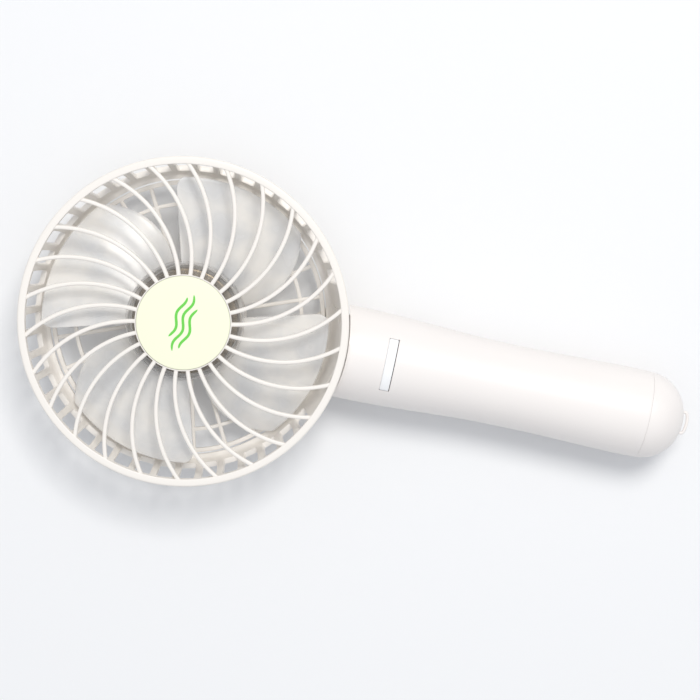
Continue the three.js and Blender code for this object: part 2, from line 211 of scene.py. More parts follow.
# fine moulded grain: a height for bump and a slow cloud for colour and gloss
def buildGrainGroup():
    group, source, sink = newGroup(
        "mouldedGrain", "ShaderNodeTree",
        [("Grain Scale", "NodeSocketFloat", 2500), ("Cloud Scale", "NodeSocketFloat", 60)],
        [("Height", "NodeSocketFloat"), ("Cloud", "NodeSocketFloat")],
    )
    place = group.nodes.new("ShaderNodeTexCoord")
    grain = group.nodes.new("ShaderNodeTexNoise")
    grain.inputs["Detail"].default_value = 2
    cloud = group.nodes.new("ShaderNodeTexNoise")
    cloud.inputs["Detail"].default_value = 3
    group.links.new(place.outputs["Object"], grain.inputs["Vector"])
    group.links.new(place.outputs["Object"], cloud.inputs["Vector"])
    group.links.new(source.outputs["Grain Scale"], grain.inputs["Scale"])
    group.links.new(source.outputs["Cloud Scale"], cloud.inputs["Scale"])
    group.links.new(grain.outputs["Fac"], sink.inputs["Height"])
    group.links.new(cloud.outputs["Fac"], sink.inputs["Cloud"])
    return group


# distance from the impeller axis, as a 0 to 1 ramp between two radii
def buildRadiusGroup():
    group, source, sink = newGroup(
        "axisDistance", "ShaderNodeTree",
        [("Inner", "NodeSocketFloat", 0.018), ("Outer", "NodeSocketFloat", 0.020)],
        [("Mask", "NodeSocketFloat")],
    )
    place = group.nodes.new("ShaderNodeTexCoord")
    parts = group.nodes.new("ShaderNodeSeparateXYZ")
    flat = group.nodes.new("ShaderNodeCombineXYZ")
    length = group.nodes.new("ShaderNodeVectorMath")
    length.operation = "LENGTH"
    ramp = group.nodes.new("ShaderNodeMapRange")
    group.links.new(place.outputs["Object"], parts.inputs[0])
    group.links.new(parts.outputs["X"], flat.inputs["X"])
    group.links.new(parts.outputs["Y"], flat.inputs["Y"])
    group.links.new(flat.outputs[0], length.inputs[0])
    group.links.new(length.outputs["Value"], ramp.inputs["Value"])
    group.links.new(source.outputs["Inner"], ramp.inputs["From Min"])
    group.links.new(source.outputs["Outer"], ramp.inputs["From Max"])
    group.links.new(ramp.outputs["Result"], sink.inputs["Mask"])
    return group


# thin parallel lines, for wound wire, stacked sheets and brushed metal
def buildLinesGroup():
    group, source, sink = newGroup(
        "fineLines", "ShaderNodeTree",
        [("Scale", "NodeSocketFloat", 600), ("Direction", "NodeSocketVector", (0, 0, 1))],
        [("Height", "NodeSocketFloat")],
    )
    place = group.nodes.new("ShaderNodeTexCoord")
    along = group.nodes.new("ShaderNodeVectorMath")
    along.operation = "DOT_PRODUCT"
    noiseLine = group.nodes.new("ShaderNodeTexNoise")
    noiseLine.noise_dimensions = "1D"
    noiseLine.inputs["Detail"].default_value = 1
    group.links.new(place.outputs["Object"], along.inputs[0])
    group.links.new(source.outputs["Direction"], along.inputs[1])
    group.links.new(along.outputs["Value"], noiseLine.inputs["W"])
    group.links.new(source.outputs["Scale"], noiseLine.inputs["Scale"])
    group.links.new(noiseLine.outputs["Fac"], sink.inputs["Height"])
    return group


grainGroup = buildGrainGroup()
radiusGroup = buildRadiusGroup()
linesGroup = buildLinesGroup()


def placeGroup(tree, group, **values):
    node = tree.nodes.new("ShaderNodeGroup")
    node.node_tree = group
    for label, value in values.items():
        node.inputs[label.replace("_", " ")].default_value = value
    return node


def mixColours(tree, mask, first, second):
    mix = tree.nodes.new("ShaderNodeMix")
    mix.data_type = "RGBA"
    mix.inputs["A"].default_value = (*first, 1)
    mix.inputs["B"].default_value = (*second, 1)
    tree.links.new(mask, mix.inputs["Factor"])
    return mix.outputs["Result"]


def spread(tree, value, low, high, start=0.0, end=1.0):
    ramp = tree.nodes.new("ShaderNodeMapRange")
    ramp.inputs["From Min"].default_value = start
    ramp.inputs["From Max"].default_value = end
    ramp.inputs["To Min"].default_value = low
    ramp.inputs["To Max"].default_value = high
    tree.links.new(value, ramp.inputs["Value"])
    return ramp.outputs["Result"]


def addBump(tree, shader, height, strength, distance):
    bump = tree.nodes.new("ShaderNodeBump")
    bump.inputs["Strength"].default_value = strength
    bump.inputs["Distance"].default_value = distance
    tree.links.new(height, bump.inputs["Height"])
    tree.links.new(bump.outputs["Normal"], shader.inputs["Normal"])


def startMaterial(name):
    material = bpy.data.materials.new(name)
    material.use_nodes = True
    tree = material.node_tree
    return material, tree, tree.nodes["Principled BSDF"]


def makeMoulded(name, look):
    material, tree, shader = startMaterial(name)
    grain = placeGroup(tree, grainGroup, Grain_Scale=look["grainScale"], Cloud_Scale=look["cloudScale"])
    colour = mixColours(tree, grain.outputs["Cloud"], look["colour"], look["shade"])
    tree.links.new(colour, shader.inputs["Base Color"])
    gloss = spread(tree, grain.outputs["Cloud"], look["roughness"] - 0.05, look["roughness"] + 0.05)
    tree.links.new(gloss, shader.inputs["Roughness"])
    shader.inputs["Specular IOR Level"].default_value = look.get("specular", 0.5)
    shader.inputs["Coat Weight"].default_value = look.get("coat", 0)
    shader.inputs["Metallic"].default_value = look.get("metal", 0)
    addBump(tree, shader, grain.outputs["Height"], look["bump"], 0.00005)
    return material


def makeMetal(name, look):
    material, tree, shader = startMaterial(name)
    grain = placeGroup(tree, grainGroup, Grain_Scale=1500, Cloud_Scale=180)
    lines = placeGroup(tree, linesGroup, Scale=look["lineScale"], Direction=look["direction"])
    colour = mixColours(tree, grain.outputs["Cloud"], look["colour"], look["shade"])
    tree.links.new(colour, shader.inputs["Base Color"])
    gloss = spread(tree, lines.outputs["Height"], look["roughness"] - 0.08, look["roughness"] + 0.1)
    tree.links.new(gloss, shader.inputs["Roughness"])
    shader.inputs["Metallic"].default_value = 1
    addBump(tree, shader, lines.outputs["Height"], look["bump"], 0.00003)
    return material


# milky plastic, clearer over the motor than in the blades; its patchy tone is partly the plastic's own
# mottling and partly painted light and shade seen through it
def makeMilky(name, look):
    material, tree, shader = startMaterial(name)
    grain = placeGroup(tree, grainGroup, Grain_Scale=1800, Cloud_Scale=look["mottleAndLightScale"])
    clear, fade = look["clearRadius"], 0.6 * mm
    reach = placeGroup(tree, radiusGroup, Inner=clear - fade, Outer=clear + fade)
    # random patches: partly the plastic's mottling, partly painted transmitted light and shade
    mottleAndPaintedLight = spread(tree, grain.outputs["Cloud"], 0, 1, 0.38, 0.64)
    colour = mixColours(tree, mottleAndPaintedLight, look["colour"], look["shade"])
    tree.links.new(colour, shader.inputs["Base Color"])
    tree.links.new(spread(tree, mottleAndPaintedLight, 0.2, 0.3), shader.inputs["Roughness"])
    cover = spread(tree, reach.outputs["Mask"], look["hubCover"], look["bladeCover"])
    tree.links.new(cover, shader.inputs["Alpha"])
    shader.inputs["Specular IOR Level"].default_value = 0.5
    addBump(tree, shader, grain.outputs["Height"], 0.05, 0.00005)
    return material


looks = {
    "shell": {"colour": (0.905, 0.86, 0.8), "shade": (0.885, 0.84, 0.78), "roughness": 0.38,
              "grainScale": 2600, "cloudScale": 50, "bump": 0.12, "specular": 0.45},
    "handle": {"colour": (0.9, 0.855, 0.82), "shade": (0.885, 0.84, 0.805), "roughness": 0.36,
               "grainScale": 2600, "cloudScale": 40, "bump": 0.12, "specular": 0.45},
    "button": {"colour": (0.96, 0.96, 0.955), "shade": (0.95, 0.95, 0.945), "roughness": 0.25,
               "grainScale": 2200, "cloudScale": 90, "bump": 0.06, "coat": 0.2},
    "badge": {"colour": (0.93, 0.935, 0.72), "shade": (0.92, 0.925, 0.7), "roughness": 0.3,
              "grainScale": 2400, "cloudScale": 60, "bump": 0.05},
    "print": {"colour": (0.13, 0.62, 0.06), "shade": (0.16, 0.66, 0.08), "roughness": 0.45,
              "grainScale": 3000, "cloudScale": 200, "bump": 0.1},
    "dark": {"colour": (0.03, 0.03, 0.033), "shade": (0.045, 0.045, 0.048), "roughness": 0.5,
             "grainScale": 1800, "cloudScale": 120, "bump": 0.2},
    "board": {"colour": (0.02, 0.16, 0.07), "shade": (0.03, 0.2, 0.09), "roughness": 0.35,
              "grainScale": 900, "cloudScale": 300, "bump": 0.15, "coat": 0.3},
    "gasket": {"colour": (0.3, 0.3, 0.31), "shade": (0.36, 0.36, 0.37), "roughness": 0.75,
               "grainScale": 1500, "cloudScale": 200, "bump": 0.2},
    "sleeve": {"colour": (0.05, 0.16, 0.42), "shade": (0.06, 0.18, 0.46), "roughness": 0.28,
               "grainScale": 500, "cloudScale": 70, "bump": 0.08, "coat": 0.3},
    "cellRing": {"colour": (0.85, 0.85, 0.83), "shade": (0.8, 0.8, 0.78), "roughness": 0.7,
                 "grainScale": 2500, "cloudScale": 300, "bump": 0.3},
    "magnet": {"colour": (0.05, 0.05, 0.055), "shade": (0.08, 0.08, 0.085), "roughness": 0.6,
               "grainScale": 2500, "cloudScale": 300, "bump": 0.3, "metal": 0.3},
}
metalLooks = {
    "steel": {"colour": (0.6, 0.6, 0.61), "shade": (0.5, 0.5, 0.51), "roughness": 0.26,
              "lineScale": 3000, "direction": (0, 0, 1), "bump": 0.1},
    # rotor cup: random patches between a warm plated tint and a near-black tone that is painted shade from
    # the hub disc
    "rotorSteelPaintedShade": {"colour": (0.3, 0.22, 0.12), "shade": (0.09, 0.08, 0.07), "roughness": 0.3,
                   "lineScale": 2500, "direction": (0.3, 0.2, 1), "bump": 0.12},
    "core": {"colour": (0.35, 0.35, 0.36), "shade": (0.25, 0.25, 0.26), "roughness": 0.42,
             "lineScale": 4000, "direction": (0, 0, 1), "bump": 0.5},
    "copper": {"colour": (0.75, 0.3, 0.12), "shade": (0.62, 0.22, 0.08), "roughness": 0.28,
               "lineScale": 2600, "direction": (1, 0.2, 0), "bump": 0.1},
    "brass": {"colour": (0.75, 0.56, 0.24), "shade": (0.66, 0.48, 0.2), "roughness": 0.3,
              "lineScale": 2500, "direction": (1, 0, 0.3), "bump": 0.12},
}
# the two colours of the patches are partly mottling and partly painted light and shade
milkyLook = {"colour": (0.97, 0.94, 0.89), "shade": (0.765, 0.765, 0.765), "clearRadius": 0.0186,
             "mottleAndLightScale": 75, "hubCover": 0.14, "bladeCover": 0.58}

finish = {name: makeMoulded(name, look) for name, look in looks.items()}
finish.update({name: makeMetal(name, look) for name, look in metalLooks.items()})
finish["milky"] = makeMilky("milky", milkyLook)
print("materials ready:", len(finish))


def linkUp(tree, source, target):
    tree.links.new(source, target)


# a ring of equal parts about the impeller axis: the part comes from a builder that adds its nodes
def buildRingTree(name, partInputs, addPart, material):
    inputs = [("Geometry", "NodeSocketGeometry", None), ("Count", "NodeSocketInt", 26),
              ("Phase", "NodeSocketFloat", 0.0)]
    inputs += [(label, "NodeSocketFloat", value) for label, value in partInputs]
    tree, source, sink = newGroup(name, "GeometryNodeTree", inputs, [("Geometry", "NodeSocketGeometry")])
    part = addPart(tree, source)
    points = tree.nodes.new("GeometryNodePoints")
    index = tree.nodes.new("GeometryNodeInputIndex")
    step = tree.nodes.new("ShaderNodeMath")
    step.operation = "DIVIDE"
    step.inputs[0].default_value = 2 * math.pi
    turn = tree.nodes.new("ShaderNodeMath")
    turn.operation = "MULTIPLY_ADD"
    angle = tree.nodes.new("ShaderNodeCombineXYZ")
    place = tree.nodes.new("GeometryNodeInstanceOnPoints")
    realize = tree.nodes.new("GeometryNodeRealizeInstances")
    paint = tree.nodes.new("GeometryNodeSetMaterial")
    paint.inputs["Material"].default_value = material
    linkUp(tree, source.outputs["Count"], points.inputs["Count"])
    linkUp(tree, source.outputs["Count"], step.inputs[1])
    linkUp(tree, index.outputs[0], turn.inputs[0])
    linkUp(tree, step.outputs[0], turn.inputs[1])
    linkUp(tree, source.outputs["Phase"], turn.inputs[2])
    linkUp(tree, turn.outputs[0], angle.inputs["Z"])
    linkUp(tree, points.outputs[0], place.inputs["Points"])
    linkUp(tree, part, place.inputs["Instance"])
    linkUp(tree, angle.outputs[0], place.inputs["Rotation"])
    linkUp(tree, place.outputs[0], realize.inputs[0])
    linkUp(tree, realize.outputs[0], paint.inputs["Geometry"])
    linkUp(tree, paint.outputs[0], sink.inputs[0])
    return tree


def runTree(name, tree, values, material):
    piece = addObject(name, bpy.data.meshes.new(name), material)
    step = piece.modifiers.new("nodes", "NODES")
    step.node_group = tree
    for item in tree.interface.items_tree:
        if item.in_out == "INPUT" and item.name in values:
            step[item.identifier] = values[item.name]
    bakeModifiers(piece)
    piece.data.materials.clear()
    piece.data.materials.append(material)
    return piece


# rounded bar section: a rectangle with filleted corners
def addBarSection(tree, source):
    section = tree.nodes.new("GeometryNodeCurvePrimitiveQuadrilateral")
    fillet = tree.nodes.new("GeometryNodeFilletCurve")
    fillet.mode = "POLY"
    fillet.inputs["Count"].default_value = 3
    linkUp(tree, source.outputs["Width"], section.inputs["Width"])
    linkUp(tree, source.outputs["Height"], section.inputs["Height"])
    linkUp(tree, section.outputs[0], fillet.inputs[0])
    linkUp(tree, source.outputs["Rounding"], fillet.inputs["Radius"])
    return fillet.outputs[0]


def sweepBar(tree, source, curve):
    upright = tree.nodes.new("GeometryNodeSetCurveNormal")
    upright.mode = "Z_UP"
    sweep = tree.nodes.new("GeometryNodeCurveToMesh")
    sweep.inputs["Fill Caps"].default_value = True
    linkUp(tree, curve, upright.inputs[0])
    linkUp(tree, upright.outputs[0], sweep.inputs["Curve"])
    linkUp(tree, addBarSection(tree, source), sweep.inputs["Profile Curve"])
    return sweep.outputs[0]


def addSweptRib(tree, source):
    arc = tree.nodes.new("GeometryNodeCurveArc")
    arc.mode = "RADIUS"
    arc.inputs["Resolution"].default_value = 28
    move = tree.nodes.new("GeometryNodeTransform")
    offset = tree.nodes.new("ShaderNodeCombineXYZ")
    linkUp(tree, source.outputs["Curve Radius"], arc.inputs["Radius"])
    linkUp(tree, source.outputs["Start Angle"], arc.inputs["Start Angle"])
    linkUp(tree, source.outputs["Sweep Angle"], arc.inputs["Sweep Angle"])
    linkUp(tree, source.outputs["Hub Radius"], offset.inputs["X"])
    linkUp(tree, source.outputs["Curve Radius"], offset.inputs["Y"])
    linkUp(tree, source.outputs["Level"], offset.inputs["Z"])
    linkUp(tree, arc.outputs[0], move.inputs[0])
    linkUp(tree, offset.outputs[0], move.inputs["Translation"])
    return sweepBar(tree, source, move.outputs[0])


def addStraightSpoke(tree, source):
    line = tree.nodes.new("GeometryNodeCurvePrimitiveLine")
    start = tree.nodes.new("ShaderNodeCombineXYZ")
    end = tree.nodes.new("ShaderNodeCombineXYZ")
    linkUp(tree, source.outputs["Inner"], start.inputs["X"])
    linkUp(tree, source.outputs["Level"], start.inputs["Z"])
    linkUp(tree, source.outputs["Outer"], end.inputs["X"])
    linkUp(tree, source.outputs["Level"], end.inputs["Z"])
    linkUp(tree, start.outputs[0], line.inputs["Start"])
    linkUp(tree, end.outputs[0], line.inputs["End"])
    return sweepBar(tree, source, line.outputs[0])


# one coil: a stack of rounded rectangular turns round a tooth
def addCoil(tree, source):
    turn = tree.nodes.new("GeometryNodeCurvePrimitiveQuadrilateral")
    fillet = tree.nodes.new("GeometryNodeFilletCurve")
    fillet.mode = "POLY"
    fillet.inputs["Count"].default_value = 3
    fillet.inputs["Radius"].default_value = 0.9 * mm
    stand = tree.nodes.new("GeometryNodeTransform")
    stand.inputs["Rotation"].default_value = (math.pi / 2, 0, math.pi / 2)
    wire = tree.nodes.new("GeometryNodeCurvePrimitiveCircle")
    wire.inputs["Resolution"].default_value = 6
    sweep = tree.nodes.new("GeometryNodeCurveToMesh")
    stack = tree.nodes.new("GeometryNodeMeshLine")
    stack.mode = "OFFSET"
    offset = tree.nodes.new("ShaderNodeCombineXYZ")
    begin = tree.nodes.new("ShaderNodeCombineXYZ")
    place = tree.nodes.new("GeometryNodeInstanceOnPoints")
    linkUp(tree, source.outputs["Width"], turn.inputs["Width"])
    linkUp(tree, source.outputs["Height"], turn.inputs["Height"])
    linkUp(tree, turn.outputs[0], fillet.inputs[0])
    linkUp(tree, fillet.outputs[0], stand.inputs[0])
    linkUp(tree, source.outputs["Wire Radius"], wire.inputs["Radius"])
    linkUp(tree, stand.outputs[0], sweep.inputs["Curve"])
    linkUp(tree, wire.outputs[0], sweep.inputs["Profile Curve"])
    linkUp(tree, source.outputs["Pitch"], offset.inputs["X"])
    linkUp(tree, source.outputs["Inner"], begin.inputs["X"])
    linkUp(tree, source.outputs["Level"], begin.inputs["Z"])
    stack.inputs["Count"].default_value = 9
    linkUp(tree, begin.outputs[0], stack.inputs["Start Location"])
    linkUp(tree, offset.outputs[0], stack.inputs["Offset"])
    linkUp(tree, stack.outputs[0], place.inputs["Points"])
    linkUp(tree, sweep.outputs[0], place.inputs["Instance"])
    return place.outputs[0]


view = {"tilt": 6.2, "roll": 12.0, "distance": 600, "lens": 97.8, "headRight": -52.7, "headUp": 8.5}


def makeCamera():
    roll = math.radians(view["roll"])
    tilt = math.radians(view["tilt"])
    right = Vector((math.cos(roll), math.sin(roll), 0))
    across = Vector((-math.sin(roll), math.cos(roll), 0))
    back = Vector((0, 0, 1)) * math.cos(tilt) + across * math.sin(tilt)
    up = back.cross(right)
    aim = Vector((0, 0, rimHigh.z)) - right * view["headRight"] * mm - up * view["headUp"] * mm
    data = bpy.data.cameras.new("camera")
    data.lens = view["lens"]
    data.sensor_width = 36
    data.clip_start = 0.01
    camera = bpy.data.objects.new("camera", data)
    rows = Matrix((right, up, back)).transposed()
    camera.matrix_world = Matrix.Translation(aim + back * view["distance"] * mm) @ rows.to_4x4()
    bpy.context.scene.collection.objects.link(camera)
    bpy.context.scene.camera = camera
    return aim, right, across


def addSoftLight(name, place, target, size, power, colour):
    data = bpy.data.lights.new(name, "AREA")
    data.shape = "DISK"
    data.size = size
    data.energy = power
    data.color = colour
    lamp = bpy.data.objects.new(name, data)
    lamp.location = place
    lamp.rotation_mode = "QUATERNION"
    lamp.rotation_quaternion = (Vector(target) - Vector(place)).to_track_quat("-Z", "Y")
    bpy.context.scene.collection.objects.link(lamp)
    return lamp


studio = {"floorSize": 12.0, "floorShade": 0.87, "backdrop": (0.8, 0.825, 0.86),
          "zenith": (0.845, 0.87, 0.915), "horizon": (0.235, 0.25, 0.28),
          "keyPower": 10.8, "keySize": 0.5}


def makeStudio(aim, right, across):
    builder = bmesh.new()
    bmesh.ops.create_grid(builder, x_segments=8, y_segments=8, size=studio["floorSize"] / 2)
    material, tree, shader = startMaterial("paperFloor")
    grain = placeGroup(tree, grainGroup, Grain_Scale=400, Cloud_Scale=6)
    bright = studio["floorShade"]
    colour = mixColours(tree, grain.outputs["Cloud"], (bright, bright, bright), (bright - 0.01,) * 3)
    tree.links.new(colour, shader.inputs["Base Color"])
    shader.inputs["Roughness"].default_value = 0.9
    shader.inputs["Specular IOR Level"].default_value = 0.1
    floor = addMesh("floor", builder, material)
    world = bpy.data.worlds.new("studio")
    world.use_nodes = True
    sky = world.node_tree
    place = sky.nodes.new("ShaderNodeTexCoord")
    parts = sky.nodes.new("ShaderNodeSeparateXYZ")
    sky.links.new(place.outputs["Generated"], parts.inputs[0])
    tint = mixColours(sky, parts.outputs["Z"], studio["horizon"], studio["zenith"])
    path = sky.nodes.new("ShaderNodeLightPath")
    seen = mixColours(sky, path.outputs["Is Camera Ray"], studio["horizon"], studio["backdrop"])
    sky.links.new(tint, seen.node.inputs["A"])
    sky.links.new(seen, sky.nodes["Background"].inputs["Color"])
    bpy.context.scene.world = world
    high = Vector((0, 0, 1))
    key = aim + across * 0.63 + right * 0.24 + high * 1.25
    addSoftLight("keyLight", key, aim, studio["keySize"], studio["keyPower"], (1, 0.985, 0.96))


aimPoint, viewRight, viewAcross = makeCamera()
makeStudio(aimPoint, viewRight, viewAcross)
bpy.context.scene.view_settings.view_transform = "Standard"
print("camera and studio ready")

grille = {"ribs": 26, "ribWidth": 1.32, "ribPhase": 9.9, "curveRadius": 37.2, "hubRadius": 15.4,
          "sweep": 59, "rimInner": 50.0, "ribRounding": 0.42}


def makeFrontGrille():
    low, high = rimLow.z / mm, rimHigh.z / mm
    under = high - 1.6
    outer = rimRadius / mm
    rim = addMesh("frontGrille", turnProfile(rounded([
        (grille["rimInner"], under, 0.2), (outer, under, 0.25), (outer, high, 0.95),
        (grille["rimInner"], high, 0.4),
    ]), headSteps), finish["shell"])
    hub = addMesh("grilleHub", turnProfile(rounded([
        (0, low, 0), (grille["hubRadius"] - 0.4, low, 0.3), (grille["hubRadius"], high - 0.12, 0.3),
        (15, high - 0.12, 0.05), (15, high - 0.9, 0), (0, high - 0.9, 0),
    ], closed=False), discSteps), finish["shell"])
    barInputs = [("Width", 1.3 * mm), ("Height", 1.2 * mm), ("Rounding", 0.4 * mm), ("Level", 0.03),
                 ("Hub Radius", 0.0154), ("Curve Radius", 0.0372), ("Start Angle", 0.0),
                 ("Sweep Angle", 1.0)]
    tree = buildRingTree("sweptRibs", barInputs, addSweptRib, finish["shell"])
    height = 1.35
    ribs = runTree("grilleRibs", tree, {
        "Count": grille["ribs"], "Phase": math.radians(grille["ribPhase"]),
        "Width": grille["ribWidth"] * mm, "Height": height * mm, "Rounding": grille["ribRounding"] * mm,
        "Level": (high - 0.25 - height / 2) * mm, "Hub Radius": grille["hubRadius"] * mm,
        "Curve Radius": grille["curveRadius"] * mm, "Start Angle": math.radians(-90.4),
        "Sweep Angle": math.radians(grille["sweep"] + 0.4),
    }, finish["shell"])
    mergeInto(rim, [hub, ribs])
    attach(rim, "housing")
    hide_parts("front_grille")


# hub badge: a shallow disc with three printed breeze lines
badge = {"radius": 14.88, "markTurn": 80, "lineLength": 19, "lineGap": 2.3, "lineWidth": 0.85, "wave": 0.75}


def makeBadge():
    high = rimHigh.z / mm
    disc = addMesh("hubBadge", turnProfile(rounded([
        (0, high - 0.6, 0), (badge["radius"], high - 0.6, 0), (badge["radius"], high - 0.12, 0.2),
        (9, high - 0.08, 4), (0, high - 0.06, 0),
    ], closed=False), discSteps), finish["badge"])
    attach(disc, "housing")
    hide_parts("hub_badge")
    builder = bmesh.new()
    steps = 40
    turn = Matrix.Rotation(math.radians(badge["markTurn"]), 4, "Z")
    bottom, top = high - 0.3, high - 0.02
    for row, share in ((-1, 0.72), (0, 1.0), (1, 0.72)):
        length = badge["lineLength"] * share
        rails = []
        for k in range(steps + 1):
            t = k / steps
            x = (t - 0.5) * length + row * 1.2
            y = row * badge["lineGap"] + badge["wave"] * math.sin(2 * math.pi * x / 9.5)
            slope = badge["wave"] * 2 * math.pi / 9.5 * math.cos(2 * math.pi * x / 9.5)
            side = Vector((-slope, 1, 0)).normalized()
            half = badge["lineWidth"] / 2 * math.sqrt(max(0.02, 1 - (2 * t - 1) ** 8))
            rails.append([
                builder.verts.new(turn @ (Vector((x, y, z)) + side * half * way) * mm)
                for way, z in ((1, bottom), (-1, bottom), (-1, top), (1, top))
            ])
        for first, second in zip(rails, rails[1:]):
            for k in range(4):
                builder.faces.new((first[k], first[(k + 1) % 4], second[(k + 1) % 4], second[k]))
        builder.faces.new(rails[0])
        builder.faces.new(rails[-1])
    bmesh.ops.recalc_face_normals(builder, faces=builder.faces)
    mark = addMesh("badgeMark", builder, finish["print"])
    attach(mark, "housing")


head = {"windows": 44, "windowShare": 0.69, "windowLow": 15.5, "windowHigh": 29.3, "wall": 2.0,
        "floorLow": 10.9, "floorHigh": 12.5, "neckHalfAngle": 21,
        "spokes": 26, "spokeWidth": 1.25, "middleRing": 36.9, "bossRadius": 17.2}


# the wall as one sheet with its windows left open, given its thickness afterwards
def makeHeadWall():
    top = ringHigh.z / mm
    profile = [(51.15, top - 0.15), (51.05, head["windowHigh"]), (50.9, 28.6), (49.9, 22), (48.8, 16.2),
               (48.55, head["windowLow"]), (48.0, 13.4), (47.2, 12.3), (46.3, 11.9), (45.2, 11.8)]
    half = head["windowShare"] / 2
    columns = [-0.5, -half, -half * 0.84, -half * 0.3, half * 0.3, half * 0.84, half]
    pitch = 2 * math.pi / head["windows"]
    builder = bmesh.new()
    grid = []
    for sector in range(head["windows"]):
        for column in columns:
            angle = (sector + 0.5 + column) * pitch
            across, along = math.cos(angle) * mm, math.sin(angle) * mm
            grid.append([builder.verts.new((r * across, r * along, z * mm)) for r, z in profile])
    windowRows = range(1, 5)
    for k in range(len(grid)):
        left, right = grid[k], grid[(k + 1) % len(grid)]
        sector, column = divmod(k, len(columns))
        middle = (sector + 0.5) * 360 / head["windows"]
        fromHandle = abs((middle + 180) % 360 - 180)
        opened = column in range(1, 6) and fromHandle > head["neckHalfAngle"]
        for row in range(len(profile) - 1):
            corners = [left[row], left[row + 1], right[row + 1], right[row]]
            if opened and row in windowRows:
                atTop, atBottom = row == 1, row == 4
                if not (atTop or atBottom) or column in (2, 3, 4):
                    continue
                # a small triangle rounds each corner of the window
                outer = left if column == 1 else right
                inner = right if column == 1 else left
                near, far = (row, row + 1) if atTop else (row + 1, row)
                builder.faces.new([outer[near], outer[far], inner[near]])
                continue
            builder.faces.new(corners)
    bmesh.ops.recalc_face_normals(builder, faces=builder.faces)
    wall = addMesh("headRing", builder, finish["shell"])
    thick = wall.modifiers.new("wall", "SOLIDIFY")
    thick.thickness = head["wall"] * mm
    thick.offset = 0
    thick.use_even_offset = True
    bakeModifiers(wall)
    return softenEdges(wall, 0.28, 2, 50)


def makeNeck():
    nose = [(0, 37), (2.6, 37.15), (5, 37.6), (7.6, 38.5), (9.8, 39.9), (11.6, 41.5), (13, 43.3),
            (14, 45.2), (14.7, 47.2), (15.05, 49.4), (15.1, 52), (15.1, 54), (0, 54)]
    neck = addMesh("headNeck", turnProfile(nose, tubeSteps, alongHandle=True), finish["shell"])
    top = ringHigh.z / mm
    outline = [(0, -5), (52.35, -5), (52.35, top), (0, top)]
    footprint = addMesh("tool", turnProfile(outline, headSteps), finish["shell"])
    combine(neck, [footprint], "INTERSECT")
    bowl = addMesh("tool", turnProfile([
        (0, 10.6), (44.9, 10.6), (44.9, 12.5), (46.4, 13.4), (47.4, 15.5), (50.1, top), (50.1, 40),
        (0, 40)], headSteps), finish["shell"])
    combine(neck, [bowl])
    sleeve = [(9.6, 50), (12, 50), (12, 60), (9.6, 60)]
    stub = addMesh("neckStub", turnProfile(sleeve, tubeSteps, alongHandle=True), finish["shell"])
    return mergeInto(neck, [stub])


def makeHeadRing():
    ring = mergeInto(makeHeadWall(), [makeNeck()])
    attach(ring, "housing")
    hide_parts("head_ring")


# flat rounded ring about the impeller axis
def makeFlatRing(name, inner, outer, low, high):
    return addMesh(name, turnProfile(rounded([
        (inner, low, 0.3), (outer, low, 0.3), (outer, high, 0.3), (inner, high, 0.3),
    ]), flatSteps), finish["shell"])


def makeRearGrille():
    barInputs = [("Width", 1.2 * mm), ("Height", 1.4 * mm), ("Rounding", 0.3 * mm), ("Level", 0.011),
                 ("Inner", 0.018), ("Outer", 0.044)]
    tree = buildRingTree("rearSpokes", barInputs, addStraightSpoke, finish["shell"])
    low, high, outer = head["floorLow"], head["floorHigh"], ledgeHigh.y / mm
    inner = head["bossRadius"] + 0.3
    spokes = runTree("rearGrille", tree, {
        "Count": head["spokes"], "Phase": math.pi / head["spokes"], "Width": head["spokeWidth"] * mm,
        "Height": 1.4 * mm, "Rounding": 0.35 * mm, "Level": (low + high) / 2 * mm,
        "Inner": (inner + 0.5) * mm, "Outer": (outer - 0.6) * mm,
    }, finish["shell"])
    middle = head["middleRing"]
    mergeInto(spokes, [
        makeFlatRing("bossRing", inner, inner + 1.4, low, high),
        makeFlatRing("middleRing", middle - 0.6, middle + 0.6, low + 0.15, high - 0.15),
        makeFlatRing("outerRing", outer - 1.4, outer, low, high),
    ])
    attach(spokes, "housing")
    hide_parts("rear_grille")


housing = {"inner": 15.4, "coverScrew": 12, "motorScrew": 6.2, "postRadius": 2.4}


def addRod(radius, x, y, low, high):
    rod = turnProfile([(0, low), (radius, low), (radius, high), (0, high)], pinSteps)
    bmesh.ops.translate(rod, vec=(x * mm, y * mm, 0), verts=rod.verts)
    return addMesh("tool", rod, finish["shell"])


def makeMotorHousing():
    radius = head["bossRadius"]
    inner = housing["inner"]
    body = addMesh("motorHousing", turnProfile(rounded([
        (0, 12.5, 0), (radius, 12.5, 0.3), (radius, 1.95, 0.25), (inner, 1.95, 0.15), (inner, 10.9, 0.4),
        (0, 10.9, 0),
    ], closed=False), discSteps), finish["shell"])
    posts = [addRod(housing["postRadius"], 0, side * housing["coverScrew"], 1.95, 11.2) for side in (-1, 1)]
    combine(body, posts, "UNION")
    holes = [addRod(0.9, 0, side * housing["coverScrew"], 0, 8.2) for side in (-1, 1)]
    for k in range(3):
        angle = 2 * math.pi * k / 3
        reach = housing["motorScrew"]
        holes.append(addRod(1.2, reach * math.cos(angle), reach * math.sin(angle), 9, 14))
    holes.append(addRod(1.6, -10.5, 0, 9, 14))
    combine(body, holes)
    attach(body, "housing")
    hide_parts("motor_housing")


